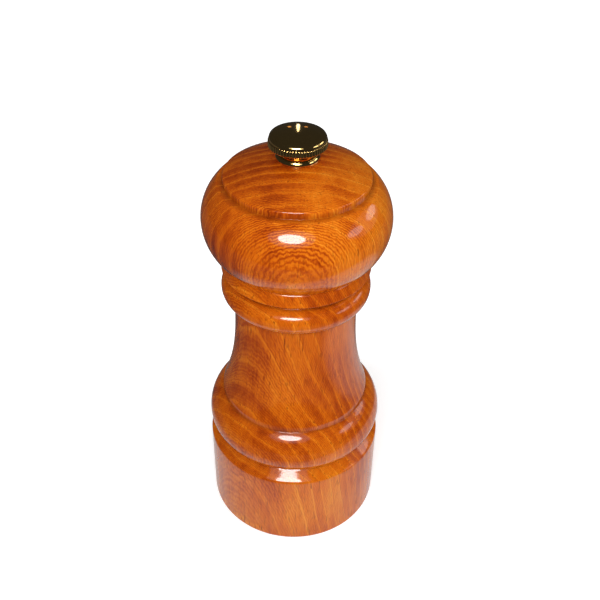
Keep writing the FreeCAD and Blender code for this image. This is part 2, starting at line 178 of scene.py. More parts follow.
class Bench:
    """The node tree of one material or of the room."""

    def __init__(self, tree: bpy.types.NodeTree) -> None:
        """Empty the tree and keep it."""
        self.tree = tree
        self.tree.nodes.clear()

    def node(
        self,
        kind: str,
        settings: dict[str, Any] | None = None,
        inputs: dict[str | int, Any] | None = None,
        output: str | int = 0,
    ) -> Value:
        """Add a node, set it up and feed its sockets.

        Args:
            kind: Blender's type name of the node.
            settings: its own properties; stops are a ramp's places and colours.
            inputs: numbers, colours or values for its sockets, by name or place.
            output: name or place of the socket that is returned.

        Returns:
            The chosen output.
        """
        node = self.tree.nodes.new(kind)
        for name, setting in (settings or {}).items():
            if name == "stops":
                self.set_stops(node.color_ramp, setting)
            else:
                setattr(node, name, setting)
        for key, given in (inputs or {}).items():
            if isinstance(given, Value):
                self.tree.links.new(given.socket, node.inputs[key])
            elif isinstance(given, tuple) and node.inputs[key].type == "RGBA":
                node.inputs[key].default_value = (*given, 1.0)
            else:
                node.inputs[key].default_value = given
        return Value(self, node.outputs[output])

    @staticmethod
    def set_stops(ramp: bpy.types.ColorRamp, stops: list[tuple[float, Colour]]) -> None:
        """Fill a colour ramp.

        Args:
            ramp: the ramp, with its two first stops.
            stops: places from 0 to 1, with their colours.
        """
        while len(ramp.elements) < len(stops):
            ramp.elements.new(1.0)
        for element, (place, colour) in zip(ramp.elements, stops):
            element.position = place
            element.color = (*colour, 1.0)

    def place(self, scale: float = 1.0 / MM, turn: float = 0.0, shift: Triple = (0.0, 0.0, 0.0)) -> Value:
        """Place on the piece.

        Args:
            scale: units for each metre; the usual unit is a millimetre.
            turn: degrees by which the pattern is turned about the upright axis.
            shift: units added after turning.

        Returns:
            The place as a vector.
        """
        inputs = {
            "Vector": self.node("ShaderNodeTexCoord", output="Object"),
            "Scale": (scale, scale, scale),
            "Rotation": (0.0, 0.0, math.radians(turn)),
            "Location": shift,
        }
        return self.node("ShaderNodeMapping", {"vector_type": "POINT"}, inputs)

    def parts(self, place: Value) -> tuple[Value, Value, Value]:
        """The three parts of a vector."""
        return tuple(self.node("ShaderNodeSeparateXYZ", {}, {0: place}, name) for name in "XYZ")

    def noise(self, place: Value, scale: Triple, detail: float = 2.0) -> Value:
        """Soft noise about zero, stretched along the axes.

        Args:
            place: where the noise is read.
            scale: waves for each unit of the place, along its three axes.
            detail: octaves of finer noise.

        Returns:
            A value that mostly stays between -0.5 and 0.5.
        """
        stretched = self.node("ShaderNodeVectorMath", {"operation": "MULTIPLY"}, {0: place, 1: scale})
        inputs = {"Vector": stretched, "Scale": 1.0, "Detail": detail}
        return self.node("ShaderNodeTexNoise", {}, inputs) - 0.5

    def chance(self, number: Value) -> Value:
        """A chance value from 0 to 1 for each whole number."""
        return self.node("ShaderNodeTexWhiteNoise", {"noise_dimensions": "1D"}, {"W": number})

    def mix(self, share: Value | float, first: Value | Colour, second: Value | Colour) -> Value:
        """Blend two colours.

        Args:
            share: 0 gives the first colour and 1 the second.
            first: a colour.
            second: a colour.

        Returns:
            The blended colour.
        """
        return self.node("ShaderNodeMix", {"data_type": "RGBA"}, {0: share, 6: first, 7: second}, 2)

    def seen_by(self, *rays: Ray) -> Value:
        """Tell some kinds of ray from the others.

        Args:
            rays: the kinds of ray.

        Returns:
            1 for the named kinds and 0 for the others.
        """
        total = self.node("ShaderNodeLightPath", output=rays[0].value)
        for ray in rays[1:]:
            total = total.math("MAXIMUM", self.node("ShaderNodeLightPath", output=ray.value))
        return total

    def bump(self, height: Value, depth: float, strength: float = 1.0) -> Value:
        """Tilt the surface by a height.

        Args:
            height: the height, from 0 to 1.
            depth: how deep a height of 1 is, in millimetres.
            strength: share of the tilt that is kept.

        Returns:
            The tilted normal.
        """
        inputs = {"Strength": strength, "Distance": depth * MM, "Height": height}
        return self.node("ShaderNodeBump", {}, inputs)

    def crease(self) -> Value:
        """How far the place lies in a turned corner, from 0 to 1."""
        return self.node("ShaderNodeAttribute", {"attribute_name": CREASE}, {}, "Fac")

    def end(self, kind: str, shader: Value) -> None:
        """Join a shader to an output node of the given type."""
        output = self.tree.nodes.new(kind)
        self.tree.links.new(shader.socket, output.inputs["Surface"])


def new_material(name: str, recipe: "Finish") -> bpy.types.Material:
    """Make a material with one Principled shader.

    Args:
        name: the material's name.
        recipe: the finish that gives the shader's inputs.

    Returns:
        The material.
    """
    material = bpy.data.materials.new(name)
    material.use_nodes = True
    bench = Bench(material.node_tree)
    shader = bench.node("ShaderNodeBsdfPrincipled", {}, recipe.inputs(bench))
    bench.end("ShaderNodeOutputMaterial", shader)
    return material


class Finish:
    """What a surface is made of."""

    def inputs(self, bench: Bench) -> dict[str | int, Any]:
        """Inputs of the Principled shader.

        Args:
            bench: the node tree to work on.

        Returns:
            Numbers, colours and values by socket.
        """
        raise NotImplementedError


class Grain(Enum):
    """Noise in the wood: waves for each millimetre along the pattern's axes, the last one upright."""

    BEND = (0.018, 0.018, 0.009)
    SWAY = (0.10, 0.10, 0.045)
    DRIFT = (0.06, 0.06, 0.012)
    RIPPLE = (0.9, 0.9, 0.45)
    FINE = (1.6, 1.6, 0.12)
    STREAK = (0.35, 0.35, 0.02)
    CLOUD = (0.045, 0.045, 0.03)
    CLEAR = (0.07, 0.07, 0.02)
    STRENGTH = (0.08, 0.08, 0.05)
    PORE = (2.3, 2.3, 0.22)
    FLECK = (1.1, 1.1, 0.20)


@dataclass(frozen=True)
class LacqueredWood(Finish):
    """Ring-porous wood under clear gloss lacquer, cut from a log whose heart lies off the lathe's axis.

    A point's depth in the log is its distance from the leaning heart, bent by slow noise. Below a height it
    grows with the cube of the drop, so that the layers spread outwards there. Depth over the ring's width
    counts the rings, and the remainder is the season: a thin pale line, a red zone that eases off towards
    the next ring, and a dark seam before it. Layers and fine wavy bands follow the depth, streaks and clouds
    follow the trunk, and one side is paler and, with a lean, also towards the foot: partly the log's paler
    outer wood, partly painted light on the lit side.

    Attributes:
        bearing: degrees by which the heart is turned about the upright axis.
        heart: millimetres from the lathe's axis to the heart.
        ring: width of a ring in millimetres.
        lean: slope of the heart along its bearing and across it.
        shift: where in the noise the piece lies.
        phase: rings added to the count.
        flare: millimetres by which the layers spread at the full drop.
        flare_z: height below which they spread.
        flare_drop: the full drop in millimetres.
        band: width of a fine band in millimetres.
        band_share: how far the bands change the tone.
        dark: how far the red zone lowers the tone.
        warp: millimetres of slow bending.
        tone: place of plain wood on the ramp of colours.
        layer_share: how far the layers change the tone.
        pale_side: bearing of the paler side, the log's paler outer wood and painted side light, in degrees.
        pale_share: how far the paler side raises the tone.
        pale_lean: millimetres of paler side gained for each millimetre below pale_z.
        pale_z: height from which the lean counts.
    """

    bearing: float
    heart: float
    ring: float
    lean: Pair
    shift: Triple
    phase: float
    flare: float
    flare_z: float
    flare_drop: float
    band: float
    band_share: float
    dark: float
    warp: float
    tone: float
    layer_share: float
    pale_side: float
    pale_share: float
    pale_lean: float
    pale_z: float
    pale_reach: Pair = (-24.0, 26.0)
    line_start: Pair = (0.0, 0.05)
    line_end: Pair = (0.24, 0.08)
    line_patches: Pair = (-0.20, 0.22)
    line_least: float = 0.3
    red_start: Pair = (0.10, 0.34)
    red_end: Pair = (1.0, 0.5)
    red_clouds: Pair = (0.12, -0.16)
    band_patches: Pair = (-0.35, 0.25)
    pore_reach: Pair = (0.07, 0.22)
    pore_least: float = 0.38
    pore_gain: float = 0.6
    fleck_reach: Pair = (0.06, 0.24)
    seam_reach: Pair = (0.95, 1.0)
    seam_patches: Pair = (-0.20, 0.25)
    sway_share: float = 0.22
    drift_share: float = 0.4
    ripple_share: float = 1.7
    ring_chance: float = 0.12
    line_share: float = 0.22
    streak_share: float = 0.45
    cloud_share: float = 0.50
    fine_share: float = 0.34
    fleck_share: float = 0.55
    seam_share: float = 0.30
    # painted shade: share by which the turned corners darken towards the seam colour
    crease_share: float = 0.4
    roughness: float = 0.42
    lacquer_roughness: float = 0.085
    lacquer_ior: float = 1.47
    pore_depth: float = 0.05
    stops: tuple[tuple[float, Colour], ...] = (
        (0.0, (0.165, 0.017, 0.001)),
        (0.28, (0.350, 0.050, 0.002)),
        (0.52, (0.525, 0.102, 0.003)),
        (0.76, (0.635, 0.160, 0.006)),
        (1.0, (0.735, 0.250, 0.018)),
    )
    pore: Colour = (0.150, 0.024, 0.003)
    fleck: Colour = (0.330, 0.040, 0.002)
    seam: Colour = (0.110, 0.022, 0.003)

    def depth(self, bench: Bench, place: Value) -> Value:
        """Depth in the log: distance from the heart, spread below and bent by noise.

        Args:
            bench: the node tree to work on.
            place: where the noise is read.

        Returns:
            The depth in millimetres.
        """
        across, along, up = bench.parts(bench.place(turn=-self.bearing))
        across = across + up * self.lean[0] + self.heart
        along = along + up * self.lean[1]
        drop = (self.flare_z - up).math("MAXIMUM", 0.0) / self.flare_drop
        depth = across.slant(along) - self.heart + drop * drop * drop * self.flare
        depth = depth + bench.noise(place, Grain.BEND.value) * self.warp
        return depth + bench.noise(place, Grain.SWAY.value, 3.0) * (self.sway_share * self.warp)

    def outer_wood_and_side_light(self, bench: Bench) -> Value:
        """Paler side, part the log's paler outer wood and part painted light on the lit side: an easing step
        across it, moved by the height times the lean.

        Args:
            bench: the node tree to work on.

        Returns:
            0 on the darker side and 1 on the paler side.
        """
        east, _, up = bench.parts(bench.place(turn=-self.pale_side))
        return (east + (self.pale_z - up) * self.pale_lean).fade(*self.pale_reach)

    def inputs(self, bench: Bench) -> dict[str | int, Any]:
        """Colour, gloss and pores from the place in the log.

        The tone is a sum of shares and picks a colour from the ramp. Flecks, pores, seams and a painted shade
        in the turned corners are laid over it in that order.

        Args:
            bench: the node tree to work on.

        Returns:
            Numbers, colours and values by socket.
        """
        place = bench.place(turn=-self.bearing, shift=self.shift)
        depth = self.depth(bench, place)
        drift = bench.noise(place, Grain.DRIFT.value) * (self.drift_share * self.warp)
        rings = depth / self.ring + drift + self.phase
        number = rings.math("FLOOR")
        season = rings - number
        ripple = bench.noise(place, Grain.RIPPLE.value) * (self.ripple_share * self.band)
        bands = (depth + ripple).wave(self.band)
        fine = bench.noise(place, Grain.FINE.value, 3.0)
        streak = bench.noise(place, Grain.STREAK.value, 3.0)
        cloud = bench.noise(place, Grain.CLOUD.value, 3.0)
        shade = cloud.fade(*self.red_clouds)
        clear = bench.noise(place, Grain.CLEAR.value).fade(*self.line_patches)
        clear = clear * (1.0 - self.line_least) + self.line_least
        pale = season.fade(*self.line_start) * season.fade(*self.line_end) * clear
        dense = season.fade(*self.red_start) * season.fade(*self.red_end) * shade
        waves = {"W": depth, "Detail": 3.0}
        layers = bench.node("ShaderNodeTexNoise", {"noise_dimensions": "1D"}, waves) - 0.5
        strength = bench.noise(place, Grain.STRENGTH.value).fade(*self.band_patches)
        tone = bench.chance(number) * self.ring_chance + (self.tone - 0.5 * self.ring_chance)
        tone = tone + pale * self.line_share - dense * self.dark
        tone = tone + streak * self.streak_share + cloud * self.cloud_share + fine * self.fine_share
        tone = tone + layers * self.layer_share + bands * strength * self.band_share
        # paler side: the log's paler outer wood together with painted light on the lit side
        tone = tone + self.outer_wood_and_side_light(bench) * self.pale_share
        colour = bench.node("ShaderNodeValToRGB", {"stops": list(self.stops)}, {"Fac": tone})
        pores = bench.noise(place, Grain.PORE.value, 1.0).fade(*self.pore_reach)
        pores = pores * (pale * self.pore_gain + self.pore_least)
        flecks = bench.noise(place, Grain.FLECK.value).fade(*self.fleck_reach) * shade
        seams = season.fade(*self.seam_reach) * streak.fade(*self.seam_patches)
        colour = bench.mix(flecks * self.fleck_share, colour, self.fleck)
        colour = bench.mix(pores, colour, self.pore)
        colour = bench.mix(seams * self.seam_share, colour, self.seam)
        # painted shade: the turned corners darken towards the seam colour
        colour = bench.mix(bench.crease() * self.crease_share, colour, self.seam)
        return {
            "Base Color": colour,
            "Roughness": self.roughness + fine * 0.3 + pores * 0.2,
            "Specular IOR Level": 0.0,
            "Coat Weight": 1.0 - pores * 0.35,
            "Coat Roughness": self.lacquer_roughness,
            "Coat IOR": self.lacquer_ior,
            "Normal": bench.bump(1.0 - pores, self.pore_depth, 0.5),
        }


@dataclass(frozen=True)
class PolishedBrass(Finish):
    """Bright turned brass with faint rings left by the polishing wheel."""

    colour: Colour = (0.83, 0.56, 0.20)
    tarnish: Colour = (0.66, 0.36, 0.10)
    wheel_marks: Triple = (7.0, 7.0, 1.0)
    haze_waves: Triple = (0.35, 0.35, 0.35)
    haze_reach: Pair = (-0.10, 0.50)
    haze_share: float = 0.35
    crease_share: float = 0.5
    roughness: float = 0.075
    roughness_range: float = 0.05
    mark_depth: float = 0.004

    def inputs(self, bench: Bench) -> dict[str | int, Any]:
        """Rings follow the distance from the axis and the height; haze is soft noise.

        Args:
            bench: the node tree to work on.

        Returns:
            Numbers, colours and values by socket.
        """
        place = bench.place()
        across, along, up = bench.parts(place)
        around = bench.node("ShaderNodeCombineXYZ", {}, {0: across.slant(along), 1: up})
        marks = bench.noise(around, self.wheel_marks, 3.0)
        haze = bench.noise(place, self.haze_waves, 3.0)
        share = haze.fade(*self.haze_reach) * self.haze_share + bench.crease() * self.crease_share
        return {
            "Base Color": bench.mix(share, self.colour, self.tarnish),
            "Metallic": 1.0,
            "Roughness": self.roughness + (marks + haze) * self.roughness_range,
            "Normal": bench.bump(marks + 0.5, self.mark_depth, 0.6),
        }


class Marks(Enum):
    """What the maker's tool left on a steel surface: noise waves for each millimetre, by axis."""

    DRAWN = (3.0, 3.0, 0.05)
    ROLLED = (0.12, 2.6, 2.6)
    CAST = (1.4, 1.4, 1.4)
    PLATED = (0.7, 0.7, 0.7)


@dataclass(frozen=True)
class Steel(Finish):
    """Steel with tool marks, cloudy gloss and clouds of a second colour."""

    colour: Colour
    shade: Colour
    marks: Marks
    roughness: float
    depth: float
    cloud_waves: Triple = (0.22, 0.22, 0.22)
    cloud_share: float = 1.6
    mark_share: float = 0.5
    shade_reach: Pair = (-0.4, 0.6)
    roughness_range: float = 0.16

    def inputs(self, bench: Bench) -> dict[str | int, Any]:
        """Tool marks tilt the surface and vary the gloss; clouds vary the colour.

        Args:
            bench: the node tree to work on.

        Returns:
            Numbers, colours and values by socket.
        """
        place = bench.place()
        marks = bench.noise(place, self.marks.value, 4.0)
        cloud = bench.noise(place, self.cloud_waves, 4.0)
        share = (cloud * self.cloud_share + marks * self.mark_share).fade(*self.shade_reach)
        return {
            "Base Color": bench.mix(share, self.colour, self.shade),
            "Metallic": 1.0,
            "Roughness": self.roughness + (marks + cloud) * self.roughness_range,
            "Normal": bench.bump(marks + 0.5, self.depth, 0.8),
        }


@dataclass(frozen=True)
class Sanding:
    """How a turned outline is softened and cut into rings.

    Attributes:
        softness: width in millimetres of the bell that rounds the corners.
        step: millimetres between rings on a straight stretch.
        angle: degrees of turning between rings on a bend.
        pace: millimetres of a step along the outline.
        crease_width: width in millimetres of the bell that spreads a crease.
        crease_gain: crease for each radian of turning inwards in a millimetre.
    """

    softness: float
    step: float
    angle: float
    pace: float = 0.03
    crease_width: float = 0.35
    crease_gain: float = 0.9


class Outline:
    """Half section of a turned piece, drawn with a pen as radius and height in millimetres."""

    def __init__(self, radius: float, height: float) -> None:
        """Set the pen down."""
        self.runs: list[Array] = [np.array([[radius, height]], float)]

    @property
    def pen(self) -> Array:
        """Where the pen is."""
        return self.runs[-1][-1]

    def line(self, radius: float, height: float) -> None:
        """Draw a straight stretch."""
        self.runs.append(np.array([[radius, height]], float))

    def arc(self, centre_radius: float, centre_height: float, end_angle: float) -> None:
        """Draw an arc about a centre: equal steps of angle at the pen's distance from it.

        Args:
            centre_radius: radius of the arc's centre.
            centre_height: height of the arc's centre.
            end_angle: angle in degrees where it ends, counted up from outwards.
        """
        spoke = self.pen - (centre_radius, centre_height)
        start = math.atan2(spoke[1], spoke[0])
        angle = np.linspace(start, math.radians(end_angle), CURVE_POINTS)[1:, None]
        way = np.hstack([np.cos(angle), np.sin(angle)])
        self.runs.append((centre_radius, centre_height) + np.hypot(*spoke) * way)

    def corner(self, at: Pair, ahead: Pair, rounding: float) -> None:
        """Draw to a corner and round it with a circle that touches both sides.

        Args:
            at: the sharp corner.
            ahead: a point on the way after it.
            rounding: the circle's radius.
        """
        corner = np.array(at)
        back = (self.pen - corner) / np.hypot(*(self.pen - corner))
        forth = (ahead - corner) / np.hypot(*(ahead - corner))
        half = 0.5 * math.acos(float(back @ forth))
        bisector = (back + forth) / np.hypot(*(back + forth))
        centre = corner + bisector * rounding / math.sin(half)
        first = corner + back * rounding / math.tan(half) - centre
        last = corner + forth * rounding / math.tan(half) - centre
        turn = math.atan2(first[0] * last[1] - first[1] * last[0], float(first @ last))
        self.runs.append((centre + first)[None])
        end_angle = math.degrees(math.atan2(first[1], first[0]) + turn)
        self.arc(centre[0], centre[1], end_angle)

    def flare(self, radius: float, height: float) -> None:
        """Draw an easing curve: the remaining width shrinks with the cube of the remaining height.

        Args:
            radius: radius where it ends.
            height: height where it ends.
        """
        share = np.linspace(0.0, 1.0, CURVE_POINTS)[1:]
        start = self.pen
        widths = radius + (start[0] - radius) * (1.0 - share) ** 3
        self.runs.append(np.stack([widths, start[1] + (height - start[1]) * share], 1))

    def sanded(self, sanding: Sanding, closed: bool) -> tuple[Array, Array]:
        """Soften the corners and choose the rings.

        The outline is walked in small equal steps and averaged under a bell, so that corners become small
        rounds. Rings are spread evenly over the sum of the length, in steps, and the turning, in angles. The
        crease is the inward turning under a wider bell.

        Args:
            sanding: how soft the corners get and how close the rings lie.
            closed: whether the outline comes back to its start.

        Returns:
            Rings as rows of radius and height, and the crease of each ring from 0 to 1.
        """
        pace = sanding.pace
        points = np.vstack(self.runs)
        if closed:
            points = np.vstack([points, points[:1]])
        length = np.concatenate([[0.0], np.cumsum(np.hypot(*np.diff(points, axis=0).T))])
        walk = np.linspace(0.0, length[-1], round(length[-1] / pace) + 1)
        dense = np.stack([np.interp(walk, length, points[:, axis]) for axis in (0, 1)], 1)
        dense = blur(dense, sanding.softness / pace, closed)
        heading = np.unwrap(np.arctan2(*np.gradient(dense, axis=0).T[::-1]))
        turning = np.gradient(heading)
        inward = np.clip(-turning, 0.0, None)[:, None]
        crease = blur(inward, sanding.crease_width / pace, closed)[:, 0] * (sanding.crease_gain / pace)
        cost = walk / sanding.step + np.cumsum(np.abs(turning)) / math.radians(sanding.angle)
        wanted = np.linspace(cost[0], cost[-1], round(cost[-1]) + 1)
        if closed:
            wanted = wanted[:-1]
        rings = np.stack([np.interp(wanted, cost, dense[:, axis]) for axis in (0, 1)], 1)
        return rings, np.clip(np.interp(wanted, cost, crease), 0.0, 1.0)


def blur(values: Array, width: float, closed: bool) -> Array:
    """Average rows under a bell curve.

    Args:
        values: one row for each step.
        width: the bell's width in steps.
        closed: whether the last row is the first again; otherwise the ends are held.

    Returns:
        The averaged rows.
    """
    reach = math.ceil(3.0 * width)
    bell = np.exp(-0.5 * (np.arange(-reach, reach + 1) / width) ** 2)
    bell /= bell.sum()
    padding = ((reach, reach), (0, 0))
    if closed:
        padded = np.pad(values[:-1], padding, mode="wrap")
    else:
        padded = np.pad(values, padding, mode="reflect", reflect_type="odd")
    columns = [np.convolve(padded[:, column], bell, mode="valid") for column in range(values.shape[1])]
    soft = np.stack(columns, 1)
    return np.vstack([soft, soft[:1]]) if closed else soft


def skin(name: str, grid: Array, loop: bool, crease: Array | None = None) -> bpy.types.Object:
    """Make a piece from a grid of points that is closed round its columns.

    Each four neighbours make a face. Where the rows do not loop, a point in the middle of the first and of
    the last row closes the end with a fan.

    Args:
        name: the piece's name.
        grid: points in millimetres, as rows by columns by three.
        loop: whether the last row joins the first.
        crease: a value for each row, kept as an attribute.

    Returns:
        The piece, linked to the scene.
    """
    rows, columns = grid.shape[:2]
    points = grid.reshape(-1, 3)
    index = np.arange(rows * columns).reshape(rows, columns)
    lower = index if loop else index[:-1]
    upper = np.roll(index, -1, 0) if loop else index[1:]
    corners = [lower, np.roll(lower, -1, 1), np.roll(upper, -1, 1), upper]
    loops = np.stack(corners, -1).reshape(-1)
    sizes = np.full(lower.size, 4)
    if not loop:
        first, last = index[0], index[-1]
        ends = np.stack([grid[0].mean(0), grid[-1].mean(0)])
        foot = np.stack([np.full(columns, len(points)), np.roll(first, -1), first], 1)
        top = np.stack([np.full(columns, len(points) + 1), last, np.roll(last, -1)], 1)
        points = np.vstack([points, ends])
        loops = np.concatenate([loops, foot.ravel(), top.ravel()])
        sizes = np.concatenate([sizes, np.full(2 * columns, 3)])
    mesh = bpy.data.meshes.new(name)
    mesh.vertices.add(len(points))
    mesh.vertices.foreach_set("co", (points * MM).astype(np.float32).ravel())
    mesh.loops.add(len(loops))
    mesh.loops.foreach_set("vertex_index", loops.astype(np.int32))
    mesh.polygons.add(len(sizes))
    starts = np.concatenate([[0], np.cumsum(sizes)[:-1]])
    mesh.polygons.foreach_set("loop_start", starts.astype(np.int32))
    mesh.polygons.foreach_set("loop_total", sizes.astype(np.int32))
    mesh.update(calc_edges=True)
    mesh.validate()
    mesh.shade_smooth()
    if crease is not None:
        worn = np.repeat(crease, columns)
        if not loop:
            worn = np.concatenate([worn, crease[[0, -1]]])
        mesh.attributes.new(CREASE, "FLOAT", "POINT").data.foreach_set("value", worn.astype(np.float32))
    piece = bpy.data.objects.new(name, mesh)
    bpy.context.scene.collection.objects.link(piece)
    return piece


def round_of(columns: int) -> Array:
    """Equal angles once round, counterclockwise."""
    return np.arange(columns) * (2.0 * math.pi / columns)


def turned(rings: Array, columns: int) -> Array:
    """Turn rings once round the axis.

    Args:
        rings: radius and height of each ring.
        columns: points on each ring.

    Returns:
        Points as rows by columns by three: radius along the angle, and height.
    """
    angle = round_of(columns)
    radius = rings[:, :1]
    height = np.repeat(rings[:, 1:], columns, 1)
    return np.stack([radius * np.cos(angle), radius * np.sin(angle), height], -1)


def hand_over(
    piece: bpy.types.Object, body: Body | None, node: str, material: bpy.types.Material
) -> None:
    """Dress a finished piece and give it to the frame.

    Args:
        piece: the piece, in place.
        body: the body it rides on, or nothing, where it is left without one.
        node: the CAD node it stands for.
        material: its material.
    """
    piece.data.materials.append(material)
    if body is not None:
        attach(piece, body.value)
    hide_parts(node)
    LOG.info("%s stands for %s with %d faces", piece.name, node, len(piece.data.polygons))


@dataclass
class TurnedBody:
    """The wooden body: base, bead, waist, collar and band, hollow right through."""

    base_radius: float = 29.0
    base_height: float = 29.0
    foot_round: float = 0.8
    shoulder_round: float = 1.2
    shoulder_z: float = 32.0
    bead_radius: float = 28.85
    bead_z: float = 38.6
    bead_lower_round: float = 7.9
    bead_upper_round: float = 11.3
    waist_foot_radius: float = 24.0
    step_height: float = 2.0
    waist_radius: float = 19.2
    waist_length: float = 36.1
    collar_radius: float = 23.1
    collar_round: float = 4.35
    collar_end_angle: float = 70.0
    groove_radius: float = 19.7
    groove_rise: float = 0.15
    band_radius: float = 22.9
    band_drop: float = 2.95
    band_height: float = 4.0
    band_taper: float = 1.4
    band_round: float = 1.5
    socket_radius: float = 15.4
    socket_depth: float = 13.0
    chamber_radius: float = 13.5
    seat_radius: float = 16.55
    seat_z: float = 9.5
    recess_radius: float = 21.0
    recess_depth: float = 8.0
    columns: int = 224
    sanding: Sanding = Sanding(softness=0.14, step=2.2, angle=6.5)

    def outline(self) -> Outline:
        """Draw the half section, from the recess outwards and up, then down the inside.

        Returns:
            The pen that drew it.
        """
        pen = Outline(self.recess_radius, 0.0)
        lower = self.bead_radius - self.bead_lower_round
        groove = lower + math.sqrt(self.bead_lower_round**2 - (self.bead_z - self.shoulder_z) ** 2)
        upper = self.bead_radius - self.bead_upper_round
        bead_end = math.degrees(math.acos((self.waist_foot_radius - upper) / self.bead_upper_round))
        collar = self.collar_radius - self.collar_round
        collar_start = -math.acos((self.waist_radius - collar) / self.collar_round)
        pen.corner((self.base_radius, 0.0), (self.base_radius, self.base_height), self.foot_round)
        pen.corner((self.base_radius, self.base_height), (groove, self.shoulder_z), self.shoulder_round)
        pen.line(groove, self.shoulder_z)
        pen.arc(lower, self.bead_z, 0.0)
        pen.arc(upper, self.bead_z, bead_end)
        pen.line(self.waist_foot_radius, pen.pen[1] + self.step_height)
        pen.flare(self.waist_radius, pen.pen[1] + self.waist_length)
        pen.arc(collar, pen.pen[1] - self.collar_round * math.sin(collar_start), self.collar_end_angle)
        pen.line(self.groove_radius, pen.pen[1] + self.groove_rise)
        pen.line(self.band_radius, pen.pen[1] + self.band_drop)
        top = pen.pen[1] + self.band_height
        pen.corner((self.band_radius - self.band_taper, top), (self.socket_radius, top), self.band_round)
        pen.line(self.socket_radius, top)
        pen.line(self.socket_radius, top - self.socket_depth)
        pen.line(self.chamber_radius, top - self.socket_depth)
        pen.line(self.chamber_radius, self.seat_z)
        pen.line(self.seat_radius, self.seat_z)
        pen.line(self.seat_radius, self.recess_depth)
        pen.line(self.recess_radius, self.recess_depth)
        return pen

    def build(self, wood: Finish) -> None:
        """Turn the body and dress it in lacquered wood.

        Args:
            wood: the body's finish.
        """
        rings, crease = self.outline().sanded(self.sanding, closed=True)
        piece = skin("turned_body", turned(rings, self.columns), True, crease)
        hand_over(piece, Body.MILL, "wooden_body", new_material("lacquered_body_wood", wood))


@dataclass
class TurnedHead:
    """The wooden head: rounded sides, a domed crown above a small step, and a tenon below."""

    foot_z: float = 101.69
    radius: float = 28.07
    lower_height: float = 12.6
    lower_round: float = 16.8
    upper_round: float = 15.66
    edge_angle: float = 47.0
    crown_radius: float = 21.3
    crown_wall: float = 1.6
    crown_round: float = 0.7
    crown_step: float = 0.25
    cap_round: float = 43.96
    seat_radius: float = 6.4
    tenon_radius: float = 15.2
    tenon_z: float = 88.99
    bore_radius: float = 4.593
    bore_top_z: float = 127.25
    thread_hole: float = 2.9
    columns: int = 224
    sanding: Sanding = Sanding(softness=0.12, step=2.0, angle=5.5)

    def outline(self) -> Outline:
        """Draw the half section, from the bore outwards and up, then down the hole.

        Returns:
            The pen that drew it.
        """
        lower = self.radius - self.lower_round
        rim = lower + math.sqrt(self.lower_round**2 - self.lower_height**2)
        middle_z = self.foot_z + self.lower_height
        centre = self.crown_radius - self.crown_round
        pen = Outline(self.bore_radius, self.tenon_z)
        pen.line(self.tenon_radius, self.tenon_z)
        pen.line(self.tenon_radius, self.foot_z)
        pen.line(rim, self.foot_z)
        pen.arc(lower, middle_z, 0.0)
        pen.arc(self.radius - self.upper_round, middle_z, self.edge_angle)
        crown_foot_z = pen.pen[1] + self.crown_step
        crown_z = crown_foot_z + self.crown_wall
        cap_z = crown_z - math.sqrt((self.cap_round - self.crown_round) ** 2 - centre**2)
        pen.line(self.crown_radius, crown_foot_z)
        pen.line(self.crown_radius, crown_z)
        pen.arc(centre, crown_z, math.degrees(math.atan2(crown_z - cap_z, centre)))
        pen.arc(0.0, cap_z, math.degrees(math.acos(self.seat_radius / self.cap_round)))
        pen.line(self.thread_hole, pen.pen[1])
        pen.line(self.thread_hole, self.bore_top_z)
        pen.line(self.bore_radius, self.bore_top_z)
        return pen

    def build(self, wood: Finish) -> None:
        """Turn the head and dress it in lacquered wood.

        Args:
            wood: the head's finish.
        """
        rings, crease = self.outline().sanded(self.sanding, closed=True)
        piece = skin("turned_head", turned(rings, self.columns), True, crease)
        hand_over(piece, Body.HEAD, "wooden_head", new_material("lacquered_head_wood", wood))


